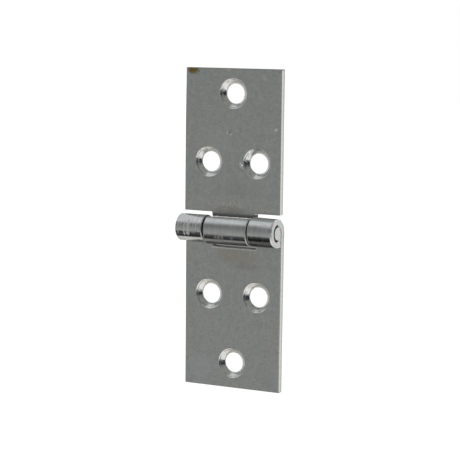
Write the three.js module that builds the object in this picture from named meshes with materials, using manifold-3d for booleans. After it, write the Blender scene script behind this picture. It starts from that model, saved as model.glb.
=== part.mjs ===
// A rolled-knuckle table hinge in zinc-plated sheet steel: two flat leaves, one above and one below the pin,
// joined by a plain pin that is peened over at both ends.
//
// Millimetres, +Z up. The origin is the middle of the pin. The pin lies along X, the leaves stand in the XZ
// plane at rest, and the front, which carries the barrel and the countersinks, faces -Y.

import * as THREE from "three";
import { mergeVertices } from "three/addons/utils/BufferGeometryUtils.js";
import Module from "manifold-3d";

const wasm = await Module();
wasm.setup();

// Driving dimensions
const LENGTH = 90;
const LEAF_WIDTH = 30.2;
const BARREL_LENGTH = 30.4;
const SHEET = 1.75;
const PIN_DIAMETER = 4.4;
const PIN_CLEARANCE = 0.05;
const UPPER_SHOULDER = 4.8;
const LOWER_SHOULDER = 4.5;
const MIDDLE_KNUCKLE_WIDTH = 13.5;
const MIDDLE_KNUCKLE_OFFSET = 0.3;
const KNUCKLE_GAP = 0.4;
const UPPER_BLANK_OFFSET = -0.45;
const ROLL_SWEEP = THREE.MathUtils.degToRad(297);
const HOLE_DIAMETER = 5.5;
const COUNTERSINK_DIAMETER = 8.5;
const NEAR_HOLE_HEIGHT = 18.75;
const NEAR_HOLE_SPREAD = 15.2;
const FAR_HOLE_HEIGHT = 38;
const PIN_END_CHAMFER = 0.3;

// Facets
const ROLL_FACETS = 40;
const HOLE_FACETS = 48;
const PIN_FACETS = 48;

// Worked out from the driving dimensions
const EYE_RADIUS = PIN_DIAMETER / 2 + PIN_CLEARANCE;
const BARREL_RADIUS = EYE_RADIUS + SHEET;
const HALF_LENGTH = LENGTH / 2;
const HALF_WIDTH = LEAF_WIDTH / 2;
const HALF_BARREL = BARREL_LENGTH / 2;
const MIDDLE_LEFT = MIDDLE_KNUCKLE_OFFSET - MIDDLE_KNUCKLE_WIDTH / 2;
const MIDDLE_RIGHT = MIDDLE_KNUCKLE_OFFSET + MIDDLE_KNUCKLE_WIDTH / 2;
const NOTCH_LEFT = MIDDLE_LEFT - KNUCKLE_GAP;
const NOTCH_RIGHT = MIDDLE_RIGHT + KNUCKLE_GAP;

// A drawing plane's axes in the hinge's frame: a section is drawn as (Y, Z) and swept along X, and a blank is
// drawn as (X, Z) and thickened towards -Y.
const SECTION_AXES = new THREE.Matrix4().makeBasis(
  new THREE.Vector3(0, 1, 0),
  new THREE.Vector3(0, 0, 1),
  new THREE.Vector3(1, 0, 0),
);
const BLANK_AXES = new THREE.Matrix4().makeBasis(
  new THREE.Vector3(1, 0, 0),
  new THREE.Vector3(0, 0, 1),
  new THREE.Vector3(0, -1, 0),
);

function toSolid(geometry) {
  const bare = geometry.clone();
  bare.deleteAttribute("normal");
  bare.deleteAttribute("uv");
  const merged = mergeVertices(bare);
  return new wasm.Manifold(new wasm.Mesh({
    numProp: 3,
    vertProperties: new Float32Array(merged.attributes.position.array),
    triVerts: new Uint32Array(merged.index.array),
  }));
}

function toGeometry(solid) {
  const mesh = solid.getMesh();
  const geometry = new THREE.BufferGeometry();
  geometry.setAttribute("position", new THREE.BufferAttribute(new Float32Array(mesh.vertProperties), 3));
  geometry.setIndex(new THREE.BufferAttribute(new Uint32Array(mesh.triVerts), 1));
  geometry.computeVertexNormals();
  return geometry;
}

// The sheet's own section where it is rolled. It runs straight along the leaf, which lies on the side that
// leafSign gives, and turns round the eye until its tip almost meets the leaf's front face.
function rolledSection(leafSign, straightLength) {
  const section = new THREE.Shape();
  section.moveTo(BARREL_RADIUS, leafSign * straightLength);
  section.lineTo(BARREL_RADIUS, 0);
  section.absarc(0, 0, BARREL_RADIUS, 0, -leafSign * ROLL_SWEEP, leafSign > 0);
  section.absarc(0, 0, EYE_RADIUS, -leafSign * ROLL_SWEEP, 0, leafSign < 0);
  section.lineTo(EYE_RADIUS, leafSign * straightLength);
  section.closePath();
  return section;
}

function knuckle(leafSign, straightLength, left, right) {
  const geometry = new THREE.ExtrudeGeometry(rolledSection(leafSign, straightLength), {
    depth: right - left,
    bevelEnabled: false,
    curveSegments: ROLL_FACETS,
  });
  geometry.applyMatrix4(SECTION_AXES);
  geometry.translate(left, 0, 0);
  return toSolid(geometry);
}

function flatBlank(outline) {
  const geometry = new THREE.ExtrudeGeometry(outline, { depth: SHEET, bevelEnabled: false });
  geometry.applyMatrix4(BLANK_AXES);
  geometry.translate(0, BARREL_RADIUS, 0);
  return toSolid(geometry);
}

// The tool that cuts one screw hole: the through hole and a 90 degree countersink that opens towards -Y.
function screwHoleCutter(x, z) {
  const hole = HOLE_DIAMETER / 2;
  const sink = COUNTERSINK_DIAMETER / 2;
  const overrun = 0.5;
  const profile = [
    new THREE.Vector2(0, EYE_RADIUS - overrun),
    new THREE.Vector2(sink + overrun, EYE_RADIUS - overrun),
    new THREE.Vector2(hole, EYE_RADIUS + sink - hole),
    new THREE.Vector2(hole, BARREL_RADIUS + overrun),
    new THREE.Vector2(0, BARREL_RADIUS + overrun),
  ];
  const geometry = new THREE.LatheGeometry(profile, HOLE_FACETS);
  geometry.translate(x, 0, z);
  return toSolid(geometry);
}

function drillLeaf(leaf, leafSign, middle) {
  const places = [
    [middle - NEAR_HOLE_SPREAD / 2, leafSign * NEAR_HOLE_HEIGHT],
    [middle + NEAR_HOLE_SPREAD / 2, leafSign * NEAR_HOLE_HEIGHT],
    [middle, leafSign * FAR_HOLE_HEIGHT],
  ];
  return places.reduce((solid, [x, z]) => solid.subtract(screwHoleCutter(x, z)), leaf);
}

function outlineOf(points) {
  return new THREE.Shape(points.map(([x, z]) => new THREE.Vector2(x, z)));
}

// The upper leaf's blank sits a little to the left of its tongue, which rolls into the middle knuckle.
function upperLeaf() {
  const left = UPPER_BLANK_OFFSET - HALF_WIDTH;
  const right = UPPER_BLANK_OFFSET + HALF_WIDTH;
  const blank = flatBlank(outlineOf([
    [left, UPPER_SHOULDER],
    [MIDDLE_LEFT, UPPER_SHOULDER],
    [MIDDLE_LEFT, 0],
    [MIDDLE_RIGHT, 0],
    [MIDDLE_RIGHT, UPPER_SHOULDER],
    [right, UPPER_SHOULDER],
    [right, HALF_LENGTH],
    [left, HALF_LENGTH],
  ]));
  const rolled = blank.add(knuckle(1, UPPER_SHOULDER, MIDDLE_LEFT, MIDDLE_RIGHT));
  return drillLeaf(rolled, 1, UPPER_BLANK_OFFSET);
}

// The lower leaf has a tongue at each side of its notch, and they roll into the two outer knuckles. Rolling
// spreads the sheet a little, so that each outer knuckle ends just past the leaf's side.
function lowerLeaf() {
  const blank = flatBlank(outlineOf([
    [-HALF_WIDTH, -HALF_LENGTH],
    [HALF_WIDTH, -HALF_LENGTH],
    [HALF_WIDTH, 0],
    [NOTCH_RIGHT, 0],
    [NOTCH_RIGHT, -LOWER_SHOULDER],
    [NOTCH_LEFT, -LOWER_SHOULDER],
    [NOTCH_LEFT, 0],
    [-HALF_WIDTH, 0],
  ]));
  const rolled = blank
    .add(knuckle(-1, LOWER_SHOULDER, -HALF_BARREL, NOTCH_LEFT))
    .add(knuckle(-1, LOWER_SHOULDER, NOTCH_RIGHT, HALF_BARREL));
  return drillLeaf(rolled, -1, 0);
}

// The pin is as long as the barrel. Its ends are peened, which rounds off their edges.
function hingePin() {
  const radius = PIN_DIAMETER / 2;
  const flat = radius - PIN_END_CHAMFER;
  const shoulder = HALF_BARREL - PIN_END_CHAMFER;
  const profile = [
    new THREE.Vector2(0, -HALF_BARREL),
    new THREE.Vector2(flat, -HALF_BARREL),
    new THREE.Vector2(radius, -shoulder),
    new THREE.Vector2(radius, shoulder),
    new THREE.Vector2(flat, HALF_BARREL),
    new THREE.Vector2(0, HALF_BARREL),
  ];
  const geometry = new THREE.LatheGeometry(profile, PIN_FACETS);
  geometry.rotateZ(-Math.PI / 2);
  return toSolid(geometry);
}

function part(name, solid, color, roughness) {
  const material = new THREE.MeshStandardMaterial({ color, roughness, metalness: 0.9 });
  const mesh = new THREE.Mesh(toGeometry(solid), material);
  mesh.name = name;
  return mesh;
}

const hinge = new THREE.Group();
hinge.add(
  part("upper_leaf", upperLeaf(), 0x7a7d7a, 0.45),
  part("lower_leaf", lowerLeaf(), 0x777a77, 0.45),
  part("hinge_pin", hingePin(), 0xb4b6b4, 0.35),
);

export default hinge;
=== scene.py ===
import math

import bmesh
import bpy
import numpy as np
from mathutils import Matrix, Vector, noise
from mathutils.geometry import delaunay_2d_cdt


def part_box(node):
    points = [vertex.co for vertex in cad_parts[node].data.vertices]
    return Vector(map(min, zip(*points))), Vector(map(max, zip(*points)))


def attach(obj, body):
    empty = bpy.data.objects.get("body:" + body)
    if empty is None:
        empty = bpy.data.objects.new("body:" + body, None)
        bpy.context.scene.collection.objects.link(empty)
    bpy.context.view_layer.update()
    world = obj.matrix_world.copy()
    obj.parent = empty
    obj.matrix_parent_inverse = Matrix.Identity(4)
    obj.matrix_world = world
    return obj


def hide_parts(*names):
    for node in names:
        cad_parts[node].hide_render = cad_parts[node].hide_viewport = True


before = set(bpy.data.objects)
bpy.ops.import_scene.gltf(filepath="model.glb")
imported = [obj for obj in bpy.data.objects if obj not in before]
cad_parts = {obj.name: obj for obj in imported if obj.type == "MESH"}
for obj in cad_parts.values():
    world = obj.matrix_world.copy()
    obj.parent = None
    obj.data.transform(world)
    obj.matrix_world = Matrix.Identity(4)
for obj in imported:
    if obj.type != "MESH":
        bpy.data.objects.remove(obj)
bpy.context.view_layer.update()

# Lengths are in millimetres until a mesh is made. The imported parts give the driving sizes.
MM = 0.001
upper_low, upper_high = (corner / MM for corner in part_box("upper_leaf"))
lower_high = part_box("lower_leaf")[1] / MM
pin_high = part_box("hinge_pin")[1] / MM
BARREL_RADIUS = -upper_low.y
HALF_LENGTH = upper_high.z
HALF_BARREL = lower_high.x
PIN_RADIUS = pin_high.z

# The blanks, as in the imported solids, but for the tongue: it starts a little further left and drifts to the
# right as it rolls
SHEET = 1.75
LEAF_HALF_WIDTH = (upper_high.x - upper_low.x) / 2
UPPER_MIDDLE = (upper_high.x + upper_low.x) / 2
UPPER_SHOULDER = 4.8
LOWER_SHOULDER = 4.5
NOTCH_LEFT, NOTCH_RIGHT = -6.85, 7.45
TONGUE_LEFT, TONGUE_RIGHT = -6.65, 6.93
TONGUE_DRIFT = 0.3
ROLL_TIP = -BARREL_RADIUS * math.radians(297)
HOLE_RADIUS = 2.75
HOLES = ((-7.6, 18.75), (7.6, 18.75), (0.0, 38.0))

# How finely the sheet is meshed, and how its cut edges are softened
CELL = 0.25
HOLE_POINTS = 96
CORNER_RADIUS = 0.2
LEAST_CORNER_RADIUS = 0.02
CORNER_STEPS = 4
EDGE_STEPS = 4
WALL_SHARES = (0.2, 0.4, 0.6, 0.8)
GRID_GAP = 0.6 * CELL
RING_GAP = 0.3 * CELL
WELD = 1e-7

# The material slots of a leaf, which are also the kinds of its faces
FACE, EDGE, SINK = 0, 1, 2

# Dents: the rings of points that mesh one, in shares of its radius, and the shape of the dent and its rim
DENT_RINGS = (0.3, 0.6, 0.9, 1.25)
DENT_RING_POINTS = 14
DENT_GAP = 1.5
DENT_SQUEEZE = 1.2
DENT_STEEPNESS = 1.7
DENT_RIM_HEIGHT = 0.3
DENT_RIM_STEEPNESS = 3.2

# Handling dents: where they may lie, how large and deep they may be, and how far apart they stay
SCATTER_X = (-13.6, 13.4)
SCATTER_S = (8, 43)
SCATTER_SIZE = (0.18, 0.34)
SCATTER_DEPTH = (0.02, 0.05)
SCATTER_GAP = 5.4

# The rolls: how uneven they are, the angles in radians over which that sets in, and the shares of the slow
# and the fine waves, with each wave's pace along x and along s
UNEVENNESS = 0.017
UNEVEN_FROM, UNEVEN_FULL = 0.2, 0.9
SLOW_WAVE = (0.7, 0.28, 0.5, 7.3)
FINE_WAVE = (0.3, 1.5, 0.35, 3.1)

# How far the cut edges are rounded, and their burrs. NEAR_BARREL is the s up to which an edge is the roll's.
NEAR_BARREL = 2
PLAIN_ROUNDING = 0.06
ROLL_ROUNDING = 0.3
LEFT_END_ROUNDING = 0.12
TIP_ROUNDING = 0.5
TIP_BURR, TIP_BURR_CHANGE = 0.46, 0.14
UPPER_FRONT, UPPER_LEFT_FRONT = 0.08, 0.03
NOTCH_ROUNDING, NOTCH_LIP = 1.0, 0.06
LOWER_FRONT, LOWER_RIGHT_FRONT = 0.04, 0.28
BARREL_END_LEAST = 0.03
BARREL_RIM_ROUNDING, BORE_MOUTH_ROUNDING = 0.5, 0.37

# Where each roll's tip stops turning and runs straight, in degrees of roll, and how much of the tip's edge
# stays sharp
MIDDLE_TIP_FROM = 268
LEFT_TIP_FROM, RIGHT_TIP_FROM = 262, 276
SHARP_TIP = 0.7

# The pin's end: how far inside the barrel it stands, its face from the middle out as radius and distance
# back, and how the peening spread it
PIN_INSET = 0.04
PIN_END = (
    (0.0, 0.0), (0.7, 0.0), (1.3, 0.0), (1.7, 0.01),
    (1.77, 0.06), (1.95, 0.26), (2.14, 0.47), (2.2, 0.6),
)
PIN_POINTS = 96
PIN_FACE = 0.6
PIN_SHANK = (-12.0, -4.0, 4.0, 12.0)
PIN_SHANK_BACK = 2.0
PEEN_RADIUS = 1.5
PEEN_EDGE = 1.72
PEEN_EDGE_SPREAD, PEEN_FACE_SPREAD = 0.045, -0.015
PEEN_FLATTENING = 0.75
PEEN_DENTS = 0.05
SEAM_ANGLE = math.radians(45)
SEAM_SPREAD = 0.34

# One screw hole from the back of the sheet to the front: radius, and depth from the back
BACK_RIM = HOLE_RADIUS + 0.12
FRONT_RIM = 4.37
SINK_PROFILE = (
    (HOLE_RADIUS + 0.03, 0.03),
    (HOLE_RADIUS, 0.1),
    (HOLE_RADIUS + 0.005, 0.16),
    (HOLE_RADIUS + 0.03, 0.22),
    (HOLE_RADIUS + 0.18, 0.43),
    (HOLE_RADIUS + 0.24, 0.5),
    (HOLE_RADIUS + 0.65, 0.91),
    (HOLE_RADIUS + 0.69, 0.94),
    (HOLE_RADIUS + 1.15, 1.4),
    (HOLE_RADIUS + 1.2, 1.43),
    (HOLE_RADIUS + 1.46, 1.69),
    (HOLE_RADIUS + 1.53, 1.735),
)
# Painted shade in a ring near a countersink's rim, where the step into the cone falls in shadow: the depths
# over which it starts and ends
SINK_SHADE_STARTS = (1.32, 1.38)
SINK_SHADE_ENDS = (1.44, 1.5)


def smoothstep(low, high, value):
    t = np.clip((value - low) / (high - low), 0.0, 1.0)
    return t * t * (3 - 2 * t)


# ---------------------------------------------------------------- flat blanks

def cut_edge(corners, rounding, share):
    """A blank's outline, moved in by a share of its edge rounding.

    Gives the points, with each one's rounding and lip.
    """
    corners = [np.array(corner, float) for corner in corners]
    count = len(corners)
    runs = []
    for i, corner in enumerate(corners):
        run = corners[(i + 1) % count] - corner
        runs.append(run / np.linalg.norm(run))
    inward = [np.array([-run[1], run[0]]) for run in runs]

    arcs = []
    for i, corner in enumerate(corners):
        a, b = runs[i - 1], runs[i]
        size_a = np.array(rounding(corner, inward[i - 1]))
        size_b = np.array(rounding(corner, inward[i]))
        place = corner + share * (inward[i - 1] * size_a[0] + inward[i] * size_b[0])
        turn = np.sign(a[0] * b[1] - a[1] * b[0])
        radius = max(CORNER_RADIUS - turn * share * min(size_a[0], size_b[0]), LEAST_CORNER_RADIUS)
        centre = place + (b - a) * radius
        arc = []
        for k in range(CORNER_STEPS + 1):
            swing = math.pi / 2 * k / CORNER_STEPS
            point = centre + radius * (a * math.sin(swing) - b * math.cos(swing))
            arc.append((point, size_a + (size_b - size_a) * k / CORNER_STEPS))
        arcs.append(arc)

    outline = []
    for i, corner in enumerate(corners):
        outline += arcs[i]
        start, end = arcs[i][-1][0], arcs[(i + 1) % count][0][0]
        first, last = start @ runs[i], end @ runs[i]
        base_first = corner @ runs[i]
        base_length = np.linalg.norm(corners[(i + 1) % count] - corner)
        cuts = max(2, round(base_length / CELL))
        for k in range(1, cuts):
            along = first + (last - first) * k / cuts
            bare = corner + runs[i] * (along - base_first)
            size = np.array(rounding(bare, inward[i]))
            outline.append((bare + inward[i] * share * size[0], size))
    points = np.array([point for point, _ in outline])
    sizes = np.array([size for _, size in outline])
    return points, sizes[:, 0], sizes[:, 1]


def circle(centre, radius, count):
    angle = np.linspace(0, 2 * math.pi, count, endpoint=False)
    return np.c_[centre[0] + radius * np.cos(angle), centre[1] + radius * np.sin(angle)]


def clear_of(points, others, gap):
    keep = np.ones(len(points), bool)
    for other in others:
        keep &= np.hypot(points[:, 0] - other[0], points[:, 1] - other[1]) > gap
    return keep


def fill(outline, holes, hole_radius, dents):
    """Triangles between the outline and the holes.

    The outline's points come first, then each hole's, then the rest.
    """
    loops = [outline] + [circle(hole, hole_radius, HOLE_POINTS) for hole in holes]
    low, high = outline.min(axis=0), outline.max(axis=0)
    x = np.arange(low[0] + CELL, high[0], CELL)
    s = np.arange(low[1] + CELL, high[1], CELL)
    grid = np.array(np.meshgrid(x, s)).reshape(2, -1).T
    grid = grid[clear_of(grid, holes, hole_radius + GRID_GAP)]
    grid = grid[clear_of(grid, outline, GRID_GAP)]
    for x_dent, s_dent, size, _ in dents:
        grid = grid[clear_of(grid, [(x_dent, s_dent)], size * DENT_GAP)]
    rings = [circle(dent[:2], dent[2] * k, DENT_RING_POINTS) for dent in dents for k in DENT_RINGS]
    rings = [ring[clear_of(ring, holes, hole_radius + RING_GAP)] for ring in rings]
    points = np.vstack([*loops, grid, *rings])
    edges, start = [], 0
    for loop in loops:
        count = len(loop)
        edges += [(start + i, start + (i + 1) % count) for i in range(count)]
        start += count
    made = delaunay_2d_cdt([Vector(p) for p in points], edges, [], 1, WELD)
    used = np.array([source[0] for source in made[3]])
    if not np.array_equal(used[:start], np.arange(start)):
        raise RuntimeError("a blank's outline crosses itself")
    points = points[used]
    faces = np.array([tuple(face) for face in made[2]])
    return points, faces[clear_of(points[faces].mean(axis=1), holes, hole_radius * 0.999)]


class Sheet:
    """A blank in flat coordinates: x along the pin, s away from it, and depth from the sheet's back."""

    def __init__(self):
        self.points = np.zeros((0, 3))
        self.faces, self.kinds = [], []

    def add_points(self, points, depth):
        start = len(self.points)
        rows = np.c_[points, np.broadcast_to(depth, len(points))]
        self.points = np.vstack([self.points, rows])
        return np.arange(start, start + len(points))

    def add_faces(self, faces, kind):
        self.faces += faces.tolist()
        self.kinds += [kind] * len(faces)

    def bridge(self, rings, kind):
        """Quads from each closed ring to the next."""
        for first, second in zip(rings, rings[1:]):
            self.add_faces(np.c_[first, np.roll(first, -1), np.roll(second, -1), second], kind)


def make_sheet(corners, holes, back_rounding, front_rounding, dents):
    sheet = Sheet()
    back_outline, _, _ = cut_edge(corners, back_rounding, 1)
    front_outline, _, _ = cut_edge(corners, front_rounding, 1)
    back_points, back_faces = fill(back_outline, holes, BACK_RIM, [])
    front_points, front_faces = fill(front_outline, holes, FRONT_RIM, dents)
    back = sheet.add_points(back_points, 0.0)
    front = sheet.add_points(front_points, SHEET)
    sheet.add_faces(back[back_faces][:, ::-1], FACE)
    sheet.add_faces(front[front_faces], FACE)

    count = len(back_outline)
    turns = np.linspace(0, math.pi / 2, EDGE_STEPS + 1)[1:]
    back_rings, front_rings = [back[:count]], [front[:count]]
    for turn in turns:
        inset, drop, rise = 1 - math.sin(turn), 1 - math.cos(turn), math.sin(2 * turn)
        outline, back_size, lip = cut_edge(corners, back_rounding, inset)
        back_rings.append(sheet.add_points(outline, back_size * drop - lip * rise))
        outline, front_size, lip = cut_edge(corners, front_rounding, inset)
        front_rings.append(sheet.add_points(outline, SHEET - front_size * drop + lip * rise))
    wall = []
    for share in WALL_SHARES:
        wall.append(sheet.add_points(outline, back_size + (SHEET - back_size - front_size) * share))
    sheet.bridge(back_rings + wall + front_rings[::-1], EDGE)

    for index, hole in enumerate(holes):
        start = count + index * HOLE_POINTS
        rings = [front[start:start + HOLE_POINTS]]
        for radius, depth in reversed(SINK_PROFILE):
            rings.append(sheet.add_points(circle(hole, radius, HOLE_POINTS), depth))
        rings.append(back[start:start + HOLE_POINTS])
        sheet.bridge(rings, SINK)
    return sheet


# ---------------------------------------------------------------- rolled leaves

def dent_sheet(blank, dents):
    """Every point's depth, with the dents pressed into the front face.

    Each dent has a low rim thrown up round it. A negative amount raises a bead.
    """
    depth = blank[:, 2].copy()
    front = depth > SHEET - 0.01
    for x, s, size, amount in dents:
        away = np.hypot(blank[:, 0] - x, (blank[:, 1] - s) * DENT_SQUEEZE) / size
        rim = np.exp(-((away - 1.0) * DENT_RIM_STEEPNESS) ** 2)
        shape = np.exp(-(away * DENT_STEEPNESS) ** 2) - DENT_RIM_HEIGHT * rim
        depth -= np.where(front, amount * shape, 0)
    return depth


def waviness(x, s, seed):
    """Unevenness of the rolled metal, a slow wave and a fine one together."""
    total = 0.0
    for share, x_pace, s_pace, apart in (SLOW_WAVE, FINE_WAVE):
        places = np.c_[x * x_pace, s * s_pace, np.full(len(x), seed * apart)]
        total = total + np.array([noise.noise(place) * share for place in places])
    return total


def turned(low, high, angle):
    """How far a roll has gone from one angle to another, in degrees, from 0 to 1."""
    return smoothstep(math.radians(low), math.radians(high), angle)


def roll(blank, dents, sign, straight_from, drift, swell, seed):
    """The blank's points in the hinge's frame, with the part below s = 0 rolled round the pin.

    straight_from gives the angle past which the tip runs straight, by x. swell gives how far the rolled
    metal's outer face stands from the true circle, by x and angle. drift is how far the rolled metal has
    moved along the pin by half a turn.
    """
    x, s = blank[:, 0], blank[:, 1]
    depth = dent_sheet(blank, dents)
    outer = 1 - depth / SHEET
    angle = np.clip(-s / BARREL_RADIUS, 0, None)
    bent = np.minimum(angle, straight_from(x))
    beyond = (angle - bent) * BARREL_RADIUS
    rolled = smoothstep(UNEVEN_FROM, UNEVEN_FULL, angle)
    radius = BARREL_RADIUS - depth + swell(x, angle) * outer
    radius -= UNEVENNESS * rolled * (1 + waviness(x, s, seed)) * outer
    across = radius * np.cos(bent) - beyond * np.sin(bent)
    along = -radius * np.sin(bent) - beyond * np.cos(bent)
    flat = s >= 0
    y = np.where(flat, BARREL_RADIUS - depth, across)
    z = sign * np.where(flat, s, along)
    return np.c_[x + drift * smoothstep(0, math.pi, angle), y, z]


def leaf_object(name, sheet, places, materials):
    mesh = bpy.data.meshes.new(name)
    mesh.from_pydata((places * MM).tolist(), [], sheet.faces)
    for material in materials:
        mesh.materials.append(material)
    mesh.polygons.foreach_set("material_index", sheet.kinds)
    s = sheet.points[:, 1]
    smooth = []
    for face, kind in zip(sheet.faces, sheet.kinds):
        burred = kind == EDGE and s[face].max() < ROLL_TIP + SHARP_TIP
        smooth.append(not burred)
    mesh.polygons.foreach_set("use_smooth", smooth)
    blank = mesh.attributes.new("blank", "FLOAT_VECTOR", "POINT")
    blank.data.foreach_set("vector", sheet.points.ravel())
    face_outward(mesh)
    piece = bpy.data.objects.new(name, mesh)
    bpy.context.scene.collection.objects.link(piece)
    return piece


def face_outward(mesh):
    shape = bmesh.new()
    shape.from_mesh(mesh)
    bmesh.ops.recalc_face_normals(shape, faces=shape.faces)
    shape.to_mesh(mesh)
    shape.free()


def hole_places(middle):
    return [(middle + x, s) for x, s in HOLES]


# Dents in the front faces: x, s, radius and depth. The bead of swarf is two raised ones.
UPPER_DENTS = [
    (-1.9, 27.4, 0.42, 0.07), (-0.9, 26.6, 0.3, 0.05), (12.9, 28.4, 0.3, 0.05),
    (-14.1, 25.4, 0.35, 0.05), (-14.2, 35.6, 0.25, 0.06), (0.8, 27.6, 0.26, 0.03),
]
SWARF_BEAD = [(2.3, 18.4, 0.75, -0.4), (2.45, 17.6, 0.6, -0.35)]
LOWER_DENTS = [(1.9, 7.4, 0.3, 0.05), (3.4, 9.6, 0.24, 0.04)]


def scattered_dents(seed, count, holes):
    """Small handling dents on the front of a leaf: x, s, radius and depth."""
    chance = np.random.default_rng(seed)
    dents = []
    while len(dents) < count:
        x, s = chance.uniform(*SCATTER_X), chance.uniform(*SCATTER_S)
        size, amount = chance.uniform(*SCATTER_SIZE), chance.uniform(*SCATTER_DEPTH)
        if clear_of(np.array([[x, s]]), holes + [dent[:2] for dent in dents], SCATTER_GAP)[0]:
            dents.append((x, s, size, amount))
    return dents


def upper_leaf():
    """The leaf above the pin. Its tongue rolls into the middle knuckle, and its burred tip shows there."""
    left, right = UPPER_MIDDLE - LEAF_HALF_WIDTH, UPPER_MIDDLE + LEAF_HALF_WIDTH
    left_shoulder = UPPER_SHOULDER - 0.12
    corners = [
        (left, left_shoulder), (TONGUE_LEFT, left_shoulder),
        (TONGUE_LEFT, ROLL_TIP), (TONGUE_RIGHT, ROLL_TIP),
        (TONGUE_RIGHT, UPPER_SHOULDER), (right, UPPER_SHOULDER),
        (right, HALF_LENGTH), (left, HALF_LENGTH),
    ]
    holes = hole_places(UPPER_MIDDLE)

    def back_rounding(place, inward):
        if inward[1] > 0.5 and place[1] < ROLL_TIP + 1:
            burr = TIP_BURR + TIP_BURR_CHANGE * noise.noise((place[0] * 1.1, 0, 4.2))
            return TIP_ROUNDING, burr
        return (ROLL_ROUNDING if place[1] < NEAR_BARREL else PLAIN_ROUNDING), 0

    def front_rounding(place, inward):
        return (UPPER_LEFT_FRONT if inward[0] > 0.5 else UPPER_FRONT), 0

    dents = UPPER_DENTS + scattered_dents(11, 5, holes + [UPPER_DENTS[0][:2]]) + SWARF_BEAD
    sheet = make_sheet(corners, holes, back_rounding, front_rounding, dents)
    tip_from = math.radians(MIDDLE_TIP_FROM)

    def swell(x, angle):
        """Fuller in front and below, and drawn in towards the tip."""
        below = 0.1 * turned(190, 230, angle)
        in_front = 0.15 * turned(75, 112, angle) * (1 - turned(145, 175, angle))
        return below + in_front - 0.74 * turned(242, 272, angle)

    places = roll(sheet.points, dents, 1, lambda x: tip_from, TONGUE_DRIFT, swell, 1)
    x, s = sheet.points[:, 0], sheet.points[:, 1]
    # The leaf narrows a little towards its top left corner, and the tongue widens at its left shoulder
    places[:, 0] += 0.16 * smoothstep(-8, -15, x) * smoothstep(30, 47, s)
    corner = smoothstep(3.6, 4.5, s)
    places[:, 0] -= corner * 0.1 * np.exp(-((x - TONGUE_LEFT) / 0.6) ** 2) * (s < left_shoulder + 0.01)
    plate = zinc_face("zinc_upper", UPPER_MARKS_AND_HIGHLIGHTS, UPPER_SPECKS, UPPER_UNDERSIDE)
    return leaf_object("upper_leaf_sheet", sheet, places, [plate, sheared, machined])


def lower_leaf():
    """The leaf below the pin. Its two tongues roll into the outer knuckles."""
    corners = [
        (-HALF_BARREL, ROLL_TIP), (NOTCH_LEFT, ROLL_TIP),
        (NOTCH_LEFT, LOWER_SHOULDER), (NOTCH_RIGHT, LOWER_SHOULDER),
        (NOTCH_RIGHT, ROLL_TIP), (HALF_BARREL, ROLL_TIP),
        (HALF_BARREL, HALF_LENGTH), (-HALF_BARREL, HALF_LENGTH),
    ]
    holes = hole_places(0)

    def back_rounding(place, inward):
        x, s = place
        if s > NEAR_BARREL:
            return PLAIN_ROUNDING, 0
        if x < HALF_BARREL - 1:
            return (LEFT_END_ROUNDING if x < -HALF_BARREL + 1 else ROLL_ROUNDING), 0
        below = smoothstep(-6.0, -9.0, s) * smoothstep(-18.6, -15.5, s)
        return BARREL_END_LEAST + BARREL_RIM_ROUNDING * below, 0

    def front_rounding(place, inward):
        x, s = place
        if inward[1] > 0.5 and 0 < s < HALF_LENGTH / 2:
            return NOTCH_ROUNDING, NOTCH_LIP
        if s > NEAR_BARREL:
            return (LOWER_RIGHT_FRONT if inward[0] < -0.5 and x > 0 else LOWER_FRONT), 0
        mouth = smoothstep(-5.5, -7.5, s) * smoothstep(-18.5, -16.5, s)
        return BARREL_END_LEAST + BORE_MOUTH_ROUNDING * mouth * (x > 10), 0

    dents = LOWER_DENTS + scattered_dents(23, 6, holes)
    sheet = make_sheet(corners, holes, back_rounding, front_rounding, dents)
    left_tip, right_tip = math.radians(LEFT_TIP_FROM), math.radians(RIGHT_TIP_FROM)

    def tip_from(x):
        return np.where(x < 0, left_tip, right_tip)

    def swell(x, angle):
        """Drawn in below on the left, and fuller above on the right."""
        left = -0.27 * turned(184, 234, angle)
        risen = 0.21 - 0.1 * smoothstep(9, 14, x)
        right = risen * turned(30, 80, angle) * (1 - turned(118, 165, angle))
        return np.where(x < 0, left, right)

    places = roll(sheet.points, dents, -1, tip_from, 0, swell, 2)
    s = sheet.points[:, 1]
    # The leaf is a little narrower than its barrel, and narrows on towards its end
    half_width = HALF_BARREL - 0.06 * smoothstep(-1, 5, s) - 0.12 * smoothstep(6, 36, s)
    places[:, 0] *= half_width / HALF_BARREL
    plate = zinc_face("zinc_lower", LOWER_MARKS, LOWER_SPECKS, LOWER_UNDERSIDE)
    return leaf_object("lower_leaf_sheet", sheet, places, [plate, sheared, machined])


# ---------------------------------------------------------------- pin

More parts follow.
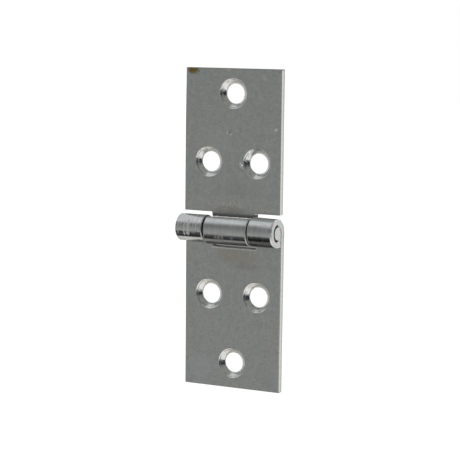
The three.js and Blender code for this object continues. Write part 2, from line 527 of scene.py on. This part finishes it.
def hinge_pin():
    """A plain pin, peened at its ends: round-edged in front, and spread into the roll's seam behind."""
    tip = HALF_BARREL - PIN_INSET
    stations = [(-HALF_BARREL + PIN_INSET + back, radius, back) for radius, back in PIN_END]
    stations += [(along, PIN_RADIUS, PIN_SHANK_BACK) for along in PIN_SHANK]
    stations += [(tip - back, radius, back) for radius, back in reversed(PIN_END)]
    shape = bmesh.new()
    rings = []
    for along, radius, back in stations:
        ring = []
        peened = radius > PEEN_RADIUS
        near_end = float(smoothstep(0.9, 0.1, back))
        for k in range(PIN_POINTS):
            angle = 2 * math.pi * k / PIN_POINTS
            behind = float(smoothstep(-0.35, 0.15, math.cos(angle)))
            seam = max(0.0, math.cos(angle + SEAM_ANGLE)) ** 3
            spread = PIN_RADIUS + (PEEN_EDGE_SPREAD if radius > PEEN_EDGE else PEEN_FACE_SPREAD)
            out = radius + (spread - radius) * behind * peened
            out *= 1 + SEAM_SPREAD * seam * near_end * peened
            y, z = out * math.cos(angle), out * math.sin(angle)
            peen = PEEN_DENTS * abs(noise.noise((y * 1.4, z * 1.4, along))) * near_end
            flattened = back * behind * PEEN_FLATTENING * (back < PIN_FACE)
            place = along - math.copysign(peen - flattened, along)
            ring.append(shape.verts.new(Vector((place, y, z)) * MM))
        rings.append(ring)
    for first, second in zip(rings, rings[1:]):
        for k in range(PIN_POINTS):
            after = (k + 1) % PIN_POINTS
            shape.faces.new((first[k], first[after], second[after], second[k]))
    bmesh.ops.remove_doubles(shape, verts=shape.verts, dist=WELD)
    bmesh.ops.recalc_face_normals(shape, faces=shape.faces)
    mesh = bpy.data.meshes.new("hinge_pin_peened")
    shape.to_mesh(mesh)
    shape.free()
    mesh.materials.append(pin_steel())
    mesh.polygons.foreach_set("use_smooth", [True] * len(mesh.polygons))
    piece = bpy.data.objects.new("hinge_pin_peened", mesh)
    bpy.context.scene.collection.objects.link(piece)
    return piece


# ---------------------------------------------------------------- materials

class Shading:
    """Short names for the nodes that the metals are made of."""

    def __init__(self, name):
        self.material = bpy.data.materials.new(name)
        self.material.use_nodes = True
        self.tree = self.material.node_tree
        self.surface = self.tree.nodes["Principled BSDF"]
        self.surface.inputs["Metallic"].default_value = 1

    def join(self, value, socket):
        if isinstance(value, bpy.types.NodeSocket):
            self.tree.links.new(value, socket)
        elif isinstance(value, (tuple, list)) and len(value) == 3 and len(socket.default_value) == 4:
            socket.default_value = (*value, 1)
        else:
            socket.default_value = value

    def blank(self):
        """Where a point lies on its blank: x, s and depth, in millimetres."""
        node = self.tree.nodes.new("ShaderNodeAttribute")
        node.attribute_name = "blank"
        return node.outputs["Vector"]

    def split(self, vector):
        node = self.tree.nodes.new("ShaderNodeSeparateXYZ")
        self.join(vector, node.inputs[0])
        return node.outputs

    def scaled(self, vector, scale, shift=(0, 0, 0)):
        node = self.tree.nodes.new("ShaderNodeMapping")
        node.inputs["Scale"].default_value = scale
        node.inputs["Location"].default_value = shift
        self.join(vector, node.inputs["Vector"])
        return node.outputs[0]

    def noise(self, vector, scale, detail=2.0, distortion=0.0):
        node = self.tree.nodes.new("ShaderNodeTexNoise")
        node.inputs["Scale"].default_value = scale
        node.inputs["Detail"].default_value = detail
        node.inputs["Distortion"].default_value = distortion
        self.join(vector, node.inputs["Vector"])
        return node.outputs[0]

    def math(self, operation, a, b=0.0, c=0.0):
        node = self.tree.nodes.new("ShaderNodeMath")
        node.operation = operation
        for value, socket in zip((a, b, c), node.inputs):
            self.join(value, socket)
        return node.outputs[0]

    def ramp(self, value, low, high, start=0.0, end=1.0):
        """Carries value smoothly from start, at low, to end, at high."""
        node = self.tree.nodes.new("ShaderNodeMapRange")
        node.interpolation_type = "SMOOTHSTEP"
        self.join(value, node.inputs["Value"])
        for number, label in ((low, "From Min"), (high, "From Max"), (start, "To Min"), (end, "To Max")):
            node.inputs[label].default_value = number
        return node.outputs[0]

    def length(self, across, up):
        squares = self.math("ADD", self.math("MULTIPLY", across, across), self.math("MULTIPLY", up, up))
        return self.math("SQRT", squares)

    def times(self, *factors):
        product = factors[0]
        for factor in factors[1:]:
            product = self.math("MULTIPLY", product, factor)
        return product

    def blend(self, share, first, second):
        node = self.tree.nodes.new("ShaderNodeMix")
        node.data_type = "RGBA"
        self.join(share, node.inputs[0])
        self.join(first, node.inputs[6])
        self.join(second, node.inputs[7])
        return node.outputs[2]

    def bump(self, height, distance, strength, normal=None):
        node = self.tree.nodes.new("ShaderNodeBump")
        node.inputs["Distance"].default_value = distance * MM
        node.inputs["Strength"].default_value = strength
        self.join(height, node.inputs["Height"])
        if normal is not None:
            self.join(normal, node.inputs["Normal"])
        return node.outputs[0]

    def layered(self, colour, layers):
        """The colour under layers, each a pattern, where it is clear and full, its cover and its colour."""
        for pattern, clear, full, cover, tone in layers:
            colour = self.blend(self.ramp(pattern, clear, full, 0, cover), colour, tone)
        return colour

    def finish(self, colour, roughness, normal):
        self.join(colour, self.surface.inputs["Base Color"])
        self.join(roughness, self.surface.inputs["Roughness"])
        self.join(normal, self.surface.inputs["Normal"])
        return self.material


def patch(shade, blank, mark):
    """A mask that is 1 in the middle of a ragged oval mark and 0 outside it."""
    x, s, half_x, half_s, grain, cover = mark
    parts = shade.split(shade.scaled(blank, (1 / half_x, 1 / half_s, 0), (-x / half_x, -s / half_s, 0)))
    away = shade.length(parts[0], parts[1])
    ragged = shade.math("MULTIPLY_ADD", shade.noise(blank, grain, 4), 1.1, away)
    return shade.ramp(ragged, 0.85, 1.55, cover, 0)


# Patches on the leaves' fronts: x, s, half width, half height, grain and cover, and their colour. Most are
# the plate's own tones, a stain and darker patches near the barrel. The white, pale and grey patches at the
# upper leaf's small dents, on its swarf bead and on the corner stain are painted highlights and painted
# shade.
UPPER_MARKS_AND_HIGHLIGHTS = (
    # A brownish stain at the top left corner, and along the top edge a paler pinkish patch: stain colour with
    # a painted highlight
    ((-13.4, 44.6, 2.6, 1.9, 1.1, 0.95), (0.27, 0.19, 0.035)),
    ((-13.2, 45.0, 1.1, 0.5, 2.5, 0.6), (0.6, 0.45, 0.3)),
    ((-1.5, 5.4, 7.5, 1.6, 0.9, 0.4), (0.34, 0.33, 0.29)),
    ((1.0, 11.0, 9.0, 3.0, 0.5, 0.25), (0.42, 0.44, 0.43)),
    ((-5.0, 24.0, 6.0, 5.0, 0.35, 0.25), (0.68, 0.74, 0.72)),
    # Painted highlights on small dents, and painted shade on the dark side of the dent near x = -1.5
    ((-2.2, 27.1, 0.45, 0.7, 1.2, 0.55), (1.0, 1.0, 1.0)),
    ((-1.5, 27.2, 0.4, 0.7, 1.2, 0.55), (0.3, 0.3, 0.3)),
    ((-1.1, 26.6, 0.5, 0.5, 1.2, 0.6), (1.0, 1.0, 1.0)),
    ((0.8, 27.7, 0.8, 0.5, 1.5, 0.4), (0.9, 0.9, 0.89)),
    ((13.1, 28.3, 0.75, 0.6, 1.2, 0.95), (1.0, 1.0, 0.98)),
    ((-14.7, 25.2, 0.4, 0.8, 2.0, 0.5), (0.8, 0.8, 0.78)),
    ((9.4, 42.4, 1.2, 1.0, 2.2, 0.5), (0.75, 0.76, 0.68)),
    ((-2.2, 44.6, 1.4, 0.4, 2.4, 0.6), (0.85, 0.85, 0.8)),
    # Painted highlight on the swarf bead
    ((2.4, 18.1, 0.85, 0.75, 0.9, 1.0), (1.0, 1.0, 0.98)),
)
LOWER_MARKS = (
    ((1.0, 7.4, 8.5, 3.2, 0.8, 0.45), (0.5, 0.45, 0.37)),
    ((4.0, 10.2, 6.0, 1.3, 0.9, 0.35), (0.4, 0.39, 0.37)),
    ((-9.5, 40.0, 6.0, 6.0, 0.35, 0.3), (0.7, 0.74, 0.76)),
    ((11.5, 42.0, 3.0, 2.5, 0.5, 0.3), (0.5, 0.56, 0.54)),
)
# Where each leaf is sprinkled with fine rusty specks: x, s, half width, half height and cover
UPPER_SPECKS = ((-2.0, 6.6, 9.0, 2.2, 0.95), (10.5, 5.8, 3.0, 1.2, 0.8))
LOWER_SPECKS = ((1.0, 7.0, 8.0, 2.4, 0.4),)


# Where each leaf's rolled metal is painted with a dark reflection below the barrel: the two x between which
# it sets in from the left, the two s between which it does, and its cover. It runs all along the middle
# knuckle and the right one.
UPPER_UNDERSIDE = (-27.5, -26.5, -10.9, -10.3, 0.66)
LOWER_UNDERSIDE = (2.5, 3.5, -13.3, -14.4, 0.85)


def underside_reflection(shade, x, s, span):
    """A mask for the painted dark reflection on the metal under the barrel."""
    x_clear, x_full, s_clear, s_full, amount = span
    return shade.times(shade.ramp(s, s_clear, s_full, 0, amount), shade.ramp(x, x_clear, x_full))


# Depths over which a mask keeps to the outside of a roll, and to the front of a leaf
OUTSIDE = (0.2, 0.1)
FRONT = (0.6, 1.2)

# Scores that the rolling tool left round the knuckles: x, width, the two ends in s, and how strong each is
SCORES = (
    (-14.35, 0.16, -14.6, -9.6, 0.7),
    (-13.3, 0.07, -13.0, -10.0, 0.4),
    (-12.4, 0.13, -14.9, -8.4, 1.0),
    (-11.25, 0.15, -14.9, -9.0, 0.9),
    (-10.75, 0.08, -14.2, -10.6, 0.8),
    (-9.6, 0.08, -12.6, -9.8, 0.4),
    (-8.7, 0.2, -13.2, -8.8, 0.8),
    (-4.4, 0.06, -14.0, -10.5, 0.35),
    (0.9, 0.05, -14.6, -11.2, 0.5),
    (3.3, 0.05, -13.2, -10.8, 0.3),
    (9.4, 0.06, -11.6, -9.0, 0.35),
    (12.9, 0.12, -11.0, -8.8, 0.6),
    (13.6, 0.08, -12.8, -9.4, 0.5),
)


def scores(shade, x, s, depth):
    """A mask of the scores, on the barrel's outside."""
    wander = shade.noise(shade.scaled(shade.blank(), (0.4, 0.35, 0)), 1.0, 2)
    place = shade.math("MULTIPLY_ADD", wander, 0.5, shade.math("SUBTRACT", x, 0.25))
    cover = 0.0
    for at, width, low, high, amount in SCORES:
        away = shade.math("ABSOLUTE", shade.math("SUBTRACT", place, at))
        middle = shade.ramp(away, width * 0.5, width * 1.5, amount, 0)
        line = shade.times(middle, shade.ramp(s, low, low + 1), shade.ramp(s, high - 1, high, 1, 0))
        cover = shade.math("MAXIMUM", cover, line)
    return shade.times(cover, shade.ramp(depth, *OUTSIDE))


def speckle(shade, blank, zones):
    """A mask of fine specks inside the zones."""
    dots = shade.ramp(shade.noise(blank, 2.3, 2), 0.56, 0.66)
    cover = 0.0
    for x, s, half_x, half_s, amount in zones:
        cover = shade.math("MAXIMUM", cover, patch(shade, blank, (x, s, half_x, half_s, 0.8, amount)))
    return shade.times(dots, cover)


# The zinc plate's colours: two tones that drift on the flat and two on the rolled metal, what lies over
# them, and the painted shade, shadow and dark reflections round the rolls
FLAT_TONES = ((0.57, 0.608, 0.59), (0.606, 0.608, 0.58))
ROLLED_TONES = ((0.65, 0.66, 0.655), (0.8, 0.805, 0.795))
MOTTLE_TONE = (0.67, 0.685, 0.67)
STREAK_TONE = (0.46, 0.485, 0.475)
PALE_CLOUD, DARK_CLOUD = (0.72, 0.73, 0.71), (0.45, 0.465, 0.455)
PALE_GRAIN, DARK_GRAIN = (0.76, 0.76, 0.73), (0.38, 0.39, 0.38)
FLECK_TONE = (0.9, 0.9, 0.87)
RUST_TONE = (1.0, 0.84, 0.64)
SCORE_TONE = (0.93, 0.93, 0.92)
TIP_SHADE_TONE = (0.24, 0.24, 0.245)
CREVICE_SHADE_TONE = (0.26, 0.265, 0.265)
BAND_REFLECTION_TONE = (0.05, 0.05, 0.055)
UNDERSIDE_REFLECTION_TONE = (0.03, 0.032, 0.033)
SHADOW_TONE = (0.04, 0.04, 0.042)


def zinc_face(name, marks_and_highlights, specks, span):
    """Zinc plate on rolled sheet: satin on the flat, burnished where the sheet was rolled round the pin."""
    shade = Shading(name)
    blank = shade.blank()
    x, s, depth = shade.split(blank)
    rolled = shade.ramp(s, 1.0, -3.0)

    drift = shade.noise(blank, 0.11, 3)
    mottle = shade.noise(blank, 0.55, 4, 0.3)
    grain = shade.noise(blank, 3.4, 3)
    streaks = shade.noise(shade.scaled(blank, (2.6, 0.12, 1)), 1.0, 4)
    clouds = shade.noise(blank, 1.3, 2)
    stray = shade.noise(shade.scaled(blank, (1, 1, 1), (31, 7, 0)), 1.25, 2)
    fine_lines = shade.noise(shade.scaled(blank, (11, 0.22, 1)), 1.0, 2)
    tracks = shade.noise(shade.scaled(blank, (1.35, 0.035, 1), (3.7, 0, 0)), 1.0, 3)

    front = shade.ramp(depth, *FRONT)
    on_left = shade.ramp(x, -6.5, -7.5)
    in_middle = shade.ramp(shade.math("ABSOLUTE", x), 7.2, 7.0)
    worn = shade.ramp(x, -5.5, -7.5, 0.35, 1.0)

    flat = shade.layered(shade.blend(shade.ramp(drift, 0.42, 0.58), *FLAT_TONES), (
        (mottle, 0.38, 0.62, 0.6, MOTTLE_TONE),
        (streaks, 0.58, 0.36, 0.2, STREAK_TONE),
        (clouds, 0.56, 0.7, 0.5, PALE_CLOUD),
        (clouds, 0.44, 0.3, 0.5, DARK_CLOUD),
        (grain, 0.55, 0.7, 0.5, PALE_GRAIN),
        (grain, 0.45, 0.3, 0.5, DARK_GRAIN),
        (stray, 0.7, 0.78, 0.7, FLECK_TONE),
    ))
    # The patches, with the painted highlights and shade on the upper leaf's dents, swarf bead and stain
    for mark, stain_and_highlight in marks_and_highlights:
        flat = shade.blend(shade.times(patch(shade, blank, mark), front), flat, stain_and_highlight)
    flat = shade.blend(shade.times(speckle(shade, blank, specks), front), flat, RUST_TONE)
    # Painted shade in the crevice beside the middle knuckle
    crevice_shade = shade.times(shade.ramp(s, 4.8, 4.0, 0, 0.8), in_middle, front)
    flat = shade.blend(crevice_shade, flat, CREVICE_SHADE_TONE)

    burnished = shade.blend(shade.times(shade.ramp(tracks, 0.4, 0.62), worn), *ROLLED_TONES)
    # Painted dark reflection on the rolled metal under the barrel
    burnished = shade.blend(underside_reflection(shade, x, s, span), burnished, UNDERSIDE_REFLECTION_TONE)
    # Painted dark reflection in a band low on the left knuckle
    reflected_band = shade.times(shade.ramp(s, -13.9, -14.3), shade.ramp(s, -15.15, -14.9), on_left)
    burnished = shade.blend(shade.times(reflected_band, shade.ramp(depth, *OUTSIDE)), burnished, BAND_REFLECTION_TONE)
    scored = scores(shade, x, s, depth)
    burnished = shade.blend(scored, burnished, SCORE_TONE)
    # Painted shade on the sheet just before the middle knuckle's tip
    tip = shade.times(shade.ramp(s, ROLL_TIP + 3.5, ROLL_TIP + 2.7), in_middle)
    burnished = shade.blend(tip, burnished, TIP_SHADE_TONE)

    colour = shade.blend(rolled, flat, burnished)
    # Painted shadow on the leaf just under the left knuckle
    under_left_shadow = shade.times(shade.ramp(s, 4.3, 4.0), on_left, front, shade.ramp(x, -14.4, -13.0))
    colour = shade.blend(under_left_shadow, colour, SHADOW_TONE)

    flat_rough = shade.math("MULTIPLY_ADD", mottle, 0.16, 0.28)
    track_mask = shade.times(shade.ramp(tracks, 0.54, 0.62), worn)
    rolled_rough = shade.math("MULTIPLY_ADD", track_mask, 0.16, 0.1)
    rolled_rough = shade.math("MULTIPLY_ADD", grain, 0.08, rolled_rough)
    rolled_rough = shade.math("MULTIPLY_ADD", scored, 0.42, rolled_rough)
    hazes = shade.ramp(shade.noise(shade.scaled(blank, (0.3, 0.55, 0)), 1.0, 2), 0.45, 0.65, 0, 0.14)
    rolled_rough = shade.math("ADD", hazes, rolled_rough)
    change = shade.math("SUBTRACT", rolled_rough, flat_rough)
    roughness = shade.math("MULTIPLY_ADD", rolled, change, flat_rough)

    lines = shade.times(fine_lines, worn, shade.ramp(s, 9.0, -1.0, 0.3, 1.0))
    normal = shade.bump(grain, 0.02, 0.5)
    normal = shade.bump(lines, 0.018, 0.6, normal)
    return shade.finish(colour, roughness, normal)


# The cut edges' colours: torn and smooth metal, what lies over them, and the notch's and the rolls' parts,
# which carry painted highlights and painted shade
TORN_TONE, SMOOTH_TONE = (0.58, 0.585, 0.56), (0.8, 0.805, 0.775)
LINE_TONE = (0.5, 0.5, 0.48)
SPOT_TONE = (0.42, 0.42, 0.4)
LEAF_END_TONE = (0.16, 0.16, 0.155)
NEAR_ROLL_TONE = (0.4, 0.4, 0.4)
TIP_EDGE_HIGHLIGHT_TONE = (0.86, 0.83, 0.79)
NOTCH_LIT, NOTCH_SHADED, NOTCH_LOW_SHADE = (1.0, 1.0, 0.98), (0.5, 0.5, 0.5), (0.66, 0.66, 0.65)
CROOK_SHADOW_TONE = (0.07, 0.07, 0.075)
RING_TINTS = ((0.7, 0.62, 0.62), (0.56, 0.62, 0.65))
MOUTH_SHADOW_TONE = (0.06, 0.08, 0.08)
RIM_HIGHLIGHT_TONE = (0.98, 1.0, 1.0)


def sheared_edge():
    """A punched edge: smooth and bright towards the front, torn and duller towards the back.

    It also covers the rolls' ends. Their right one shows, with tints, painted shadow in the bore's mouth and
    ragged painted highlights on its rim.
    """
    shade = Shading("sheared_edge")
    blank = shade.blank()
    x, s, depth = shade.split(blank)
    ragged = shade.math("MULTIPLY_ADD", shade.noise(shade.scaled(blank, (1.2, 1.2, 0)), 1.0, 4), 0.7, depth)
    smooth = shade.ramp(ragged, 0.95, 1.25)
    lines = shade.noise(shade.scaled(blank, (7, 7, 0.5)), 1.0, 3)
    spots = shade.noise(blank, 1.6, 3)
    across = shade.math("ABSOLUTE", x)
    inside = shade.ramp(across, 8.6, 8.2)

    colour = shade.blend(smooth, TORN_TONE, SMOOTH_TONE)
    colour = shade.blend(shade.ramp(lines, 0.35, 0.7, 0.3, 0), colour, LINE_TONE)
    colour = shade.layered(colour, (
        (spots, 0.62, 0.74, 0.45, SPOT_TONE),
        (s, HALF_LENGTH - 0.35, HALF_LENGTH - 0.12, 1, LEAF_END_TONE),
        (s, 5.4, 0.0, 0.3, NEAR_ROLL_TONE),
    ))
    # Painted highlight along the burred tip of the middle knuckle's roll
    tip = shade.times(shade.ramp(s, ROLL_TIP + 0.6, ROLL_TIP + 0.5), shade.ramp(across, 7.25, 7.15))
    colour = shade.blend(tip, colour, TIP_EDGE_HIGHLIGHT_TONE)

    # The floor of the lower leaf's notch, painted with light and shade: a painted highlight at its front
    # corner, a line of painted shade below that, then painted shade on the lower wall
    notch = shade.times(shade.ramp(s, 4.35, 4.45), shade.ramp(s, 5.7, 5.6), inside)
    lit = shade.times(notch, shade.ramp(depth, 1.5, 1.56))
    shaded = shade.times(notch, shade.times(shade.ramp(depth, 1.3, 1.4), shade.ramp(depth, 1.56, 1.5)))
    low_wall_shade = shade.times(notch, shade.ramp(depth, 1.4, 1.3))
    colour = shade.blend(lit, colour, NOTCH_LIT)
    colour = shade.blend(shaded, colour, NOTCH_SHADED)
    colour = shade.blend(low_wall_shade, colour, NOTCH_LOW_SHADE)
    # Painted deep shadow on the cut walls of the slots beside the knuckles
    crook_shadow = shade.times(shade.ramp(s, 0.0, 1.5), shade.ramp(s, 4.4, 4.7, 1, 0), inside)
    colour = shade.blend(crook_shadow, colour, CROOK_SHADOW_TONE)

    # The right end of the barrel
    ring = shade.times(shade.ramp(x, HALF_BARREL - 0.8, HALF_BARREL - 0.5), shade.ramp(s, -1.5, -3.5))
    tints = shade.ramp(shade.noise(shade.scaled(blank, (1, 1, 1), (5, 2, 0)), 0.42, 2), 0.42, 0.58)
    tinted = shade.blend(tints, *RING_TINTS)
    colour = shade.blend(shade.times(ring, shade.ramp(depth, 1.7, 1.2, 0.0, 0.75)), colour, tinted)
    # Painted shadow in the bore's mouth, on its front side
    mouth = shade.times(shade.ramp(s, -5.5, -7.0), shade.ramp(s, -18.6, -17.4), ring)
    mouth = shade.times(mouth, shade.ramp(depth, SHEET - 0.38, SHEET - 0.3))
    colour = shade.blend(mouth, colour, MOUTH_SHADOW_TONE)
    # Ragged painted highlights on the ring's outer rim
    ragged_rim_highlight = shade.ramp(shade.noise(shade.scaled(blank, (1, 2.2, 0.7)), 1.0, 2), 0.46, 0.56, 0, 0.9)
    rim = shade.times(ring, ragged_rim_highlight, shade.ramp(depth, 0.45, 0.2))
    colour = shade.blend(rim, colour, RIM_HIGHLIGHT_TONE)

    roughness = shade.math("MULTIPLY_ADD", smooth, -0.12, 0.5)
    roughness = shade.math("MULTIPLY_ADD", shade.ramp(s, 1.0, -1.0), -0.12, roughness)
    roughness = shade.math("MULTIPLY_ADD", shade.math("MAXIMUM", lit, tip), -0.2, roughness)
    normal = shade.bump(lines, 0.05, 0.5)
    normal = shade.bump(spots, 0.06, 0.4, normal)
    return shade.finish(colour, roughness, normal)


SINK_TONES = ((0.7, 0.705, 0.68), (0.87, 0.875, 0.855))
CHATTER_TONE = (0.42, 0.425, 0.4)
SINK_SHADE_TONE = (0.1, 0.1, 0.105)


def machined_sink():
    """A countersink: bright metal with the tool's rings, and a broken ring of painted shade near its rim."""
    shade = Shading("machined_sink")
    blank = shade.blank()
    depth = shade.split(blank)[2]
    rings = shade.noise(shade.scaled(blank, (0.25, 0.25, 9)), 1.0, 3)
    chatter = shade.noise(blank, 1.3, 3)
    broken = shade.ramp(shade.noise(blank, 0.5, 2), 0.42, 0.58, 0.0, 0.75)
    colour = shade.blend(shade.ramp(rings, 0.35, 0.65), *SINK_TONES)
    colour = shade.blend(shade.ramp(chatter, 0.56, 0.7, 0, 0.6), colour, CHATTER_TONE)
    # A broken ring of painted shade near the rim
    mark = shade.times(shade.ramp(depth, *SINK_SHADE_STARTS), shade.ramp(depth, *SINK_SHADE_ENDS, 1, 0))
    mark = shade.times(mark, broken)
    colour = shade.blend(mark, colour, SINK_SHADE_TONE)
    roughness = shade.math("MULTIPLY_ADD", chatter, 0.12, 0.12)
    normal = shade.bump(rings, 0.03, 0.6)
    normal = shade.bump(chatter, 0.12, 0.5, normal)
    return shade.finish(colour, roughness, normal)


PIN_TONES = ((0.66, 0.65, 0.655), (0.6, 0.615, 0.625))
PIN_GRAIN_TONE = (0.5, 0.5, 0.5)
GROOVE_SHADOW_TONE = (0.05, 0.065, 0.065)
GROOVE_INNER, GROOVE_OUTER = 1.7 * MM, 1.78 * MM
GROOVE_BEHIND, GROOVE_FRONT = 0.9 * MM, -0.2 * MM


def pin_steel():
    """The pin's bright, hammered end, with painted shadow in the groove round the front of its face."""
    shade = Shading("pin_steel")
    place = shade.tree.nodes.new("ShaderNodeTexCoord").outputs["Object"]
    blotches = shade.noise(place, 900, 3)
    grain = shade.noise(place, 3500, 2)
    colour = shade.blend(shade.ramp(blotches, 0.4, 0.6), *PIN_TONES)
    colour = shade.blend(shade.ramp(grain, 0.6, 0.75, 0, 0.3), colour, PIN_GRAIN_TONE)
    _, y, z = shade.split(place)
    # Painted shadow on the pin's rounded edge, towards the front
    groove_shadow = shade.ramp(shade.length(y, z), GROOVE_INNER, GROOVE_OUTER)
    groove_shadow = shade.times(groove_shadow, shade.ramp(y, GROOVE_BEHIND, GROOVE_FRONT))
    colour = shade.blend(groove_shadow, colour, GROOVE_SHADOW_TONE)
    roughness = shade.math("MULTIPLY_ADD", blotches, 0.2, 0.16)
    normal = shade.bump(blotches, 0.05, 0.4)
    return shade.finish(colour, roughness, normal)


sheared = sheared_edge()
machined = machined_sink()

# ---------------------------------------------------------------- studio

CAMERA_YAW = math.radians(28.41)
CAMERA_PITCH = math.radians(6.7)
CAMERA_ROLL = math.radians(0.66)
CAMERA_DISTANCE = 494.87
CAMERA_LENS = 138.8
SENSOR_WIDTH = 36
CAMERA_RIGHT = 0.198
CAMERA_UP = 0.108
FLOOR_HEIGHT = -0.16
FLOOR_HALF = 4.0


def studio_camera():
    forward = Vector((
        -math.sin(CAMERA_YAW) * math.cos(CAMERA_PITCH),
        math.cos(CAMERA_YAW) * math.cos(CAMERA_PITCH),
        -math.sin(CAMERA_PITCH),
    ))
    level = Vector((math.cos(CAMERA_YAW), math.sin(CAMERA_YAW), 0))
    upright = level.cross(forward)
    right = level * math.cos(CAMERA_ROLL) + upright * math.sin(CAMERA_ROLL)
    up = upright * math.cos(CAMERA_ROLL) - level * math.sin(CAMERA_ROLL)
    place = (right * CAMERA_RIGHT + up * CAMERA_UP - forward * CAMERA_DISTANCE) * MM
    camera = bpy.data.objects.new("camera", bpy.data.cameras.new("camera"))
    camera.data.lens = CAMERA_LENS
    camera.data.sensor_width = SENSOR_WIDTH
    camera.matrix_world = Matrix((
        (right.x, up.x, -forward.x, place.x),
        (right.y, up.y, -forward.y, place.y),
        (right.z, up.z, -forward.z, place.z),
        (0, 0, 0, 1),
    ))
    bpy.context.scene.collection.objects.link(camera)
    bpy.context.scene.camera = camera


def studio_floor():
    """A pale floor that neither lights the hinge nor shows in it. The light comes from the world."""
    mesh = bpy.data.meshes.new("floor")
    h = FLOOR_HALF
    mesh.from_pydata([(-h, -h, 0), (h, -h, 0), (h, h, 0), (-h, h, 0)], [], [(0, 1, 2, 3)])
    material = bpy.data.materials.new("floor_white")
    material.use_nodes = True
    shader = material.node_tree.nodes["Principled BSDF"]
    shader.inputs["Base Color"].default_value = (0.9, 0.9, 0.9, 1)
    shader.inputs["Roughness"].default_value = 0.9
    shader.inputs["Emission Color"].default_value = (1, 1, 1, 1)
    shader.inputs["Emission Strength"].default_value = 0.6
    mesh.materials.append(material)
    floor = bpy.data.objects.new("floor", mesh)
    floor.location.z = FLOOR_HEIGHT
    floor.visible_glossy = False
    floor.visible_diffuse = False
    bpy.context.scene.collection.objects.link(floor)


# The studio's light by height above the horizon, in degrees
SKY = (
    (-90, (0.84, 0.81, 0.77)),
    (-50, (0.84, 0.81, 0.77)),
    (-34, (0.62, 0.6, 0.57)),
    (-20, (0.42, 0.42, 0.41)),
    (-8, (0.34, 0.345, 0.34)),
    (6, (0.29, 0.3, 0.295)),
    (18, (0.22, 0.225, 0.225)),
    (31, (0.2, 0.205, 0.21)),
    (42, (0.42, 0.43, 0.435)),
    (52, (0.75, 0.775, 0.78)),
    (90, (0.75, 0.775, 0.78)),
)
# Softboxes and dark flags: azimuth from the front towards +X, height, radius and fade in degrees, and light
LAMPS = (
    (-104, 34, 26, 24, (0.66, 0.68, 0.7)),
    (-116, -28, 20, 26, (0.56, 0.56, 0.55)),
    (150, 2, 44, 34, (0.88, 0.885, 0.86)),
    (44, 58, 24, 22, (0.27, 0.272, 0.26)),
    (-36, -36, 8, 10, (0.06, 0.062, 0.066)),
    (-46, -48, 9, 9, (0.05, 0.053, 0.06)),
    (60, -48, 16, 14, (0.95, 0.95, 0.95)),
    (62, -3, 14, 8, (0.02, 0.022, 0.034)),
)


def studio_world():
    """The sky and lamps that the metal reflects, with plain white where the camera looks past the hinge."""
    world = bpy.data.worlds.new("studio")
    world.use_nodes = True
    bpy.context.scene.world = world
    nodes, links = world.node_tree.nodes, world.node_tree.links
    nodes.clear()
    direction = nodes.new("ShaderNodeTexCoord").outputs["Generated"]
    split = nodes.new("ShaderNodeSeparateXYZ")
    links.new(direction, split.inputs[0])
    height = nodes.new("ShaderNodeMath")
    height.operation = "MULTIPLY_ADD"
    links.new(split.outputs["Z"], height.inputs[0])
    height.inputs[1].default_value = 0.5
    height.inputs[2].default_value = 0.5
    sky = nodes.new("ShaderNodeValToRGB")
    links.new(height.outputs[0], sky.inputs[0])
    stops = sky.color_ramp.elements
    while len(stops) < len(SKY):
        stops.new(0.5)
    for stop, (degrees, light) in zip(stops, SKY):
        stop.position = math.sin(math.radians(degrees)) / 2 + 0.5
        stop.color = (*light, 1)
    light_now = sky.outputs[0]
    for azimuth, up, radius, fade, light in LAMPS:
        az, el = math.radians(azimuth), math.radians(up)
        facing = nodes.new("ShaderNodeVectorMath")
        facing.operation = "DOT_PRODUCT"
        links.new(direction, facing.inputs[0])
        aim = (math.sin(az) * math.cos(el), -math.cos(az) * math.cos(el), math.sin(el))
        facing.inputs[1].default_value = aim
        reach = nodes.new("ShaderNodeMapRange")
        reach.interpolation_type = "SMOOTHSTEP"
        links.new(facing.outputs["Value"], reach.inputs["Value"])
        reach.inputs["From Min"].default_value = math.cos(math.radians(radius + fade))
        reach.inputs["From Max"].default_value = math.cos(math.radians(radius))
        mix = nodes.new("ShaderNodeMix")
        mix.data_type = "RGBA"
        links.new(reach.outputs[0], mix.inputs[0])
        links.new(light_now, mix.inputs[6])
        mix.inputs[7].default_value = (*light, 1)
        light_now = mix.outputs[2]
    studio = nodes.new("ShaderNodeBackground")
    links.new(light_now, studio.inputs["Color"])
    white = nodes.new("ShaderNodeBackground")
    white.inputs["Color"].default_value = (1, 1, 1, 1)
    path = nodes.new("ShaderNodeLightPath")
    seen = nodes.new("ShaderNodeMixShader")
    links.new(path.outputs["Is Camera Ray"], seen.inputs[0])
    links.new(studio.outputs[0], seen.inputs[1])
    links.new(white.outputs[0], seen.inputs[2])
    links.new(seen.outputs[0], nodes.new("ShaderNodeOutputWorld").inputs[0])


studio_camera()
studio_floor()
studio_world()
bpy.context.scene.view_settings.view_transform = "Standard"

# ---------------------------------------------------------------- the pieces on their bodies

upper = upper_leaf()
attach(upper, "upper_leaf")
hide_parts("upper_leaf")

lower = lower_leaf()
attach(lower, "lower_leaf")
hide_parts("lower_leaf")

pin = hinge_pin()
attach(pin, "lower_leaf")
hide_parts("hinge_pin")
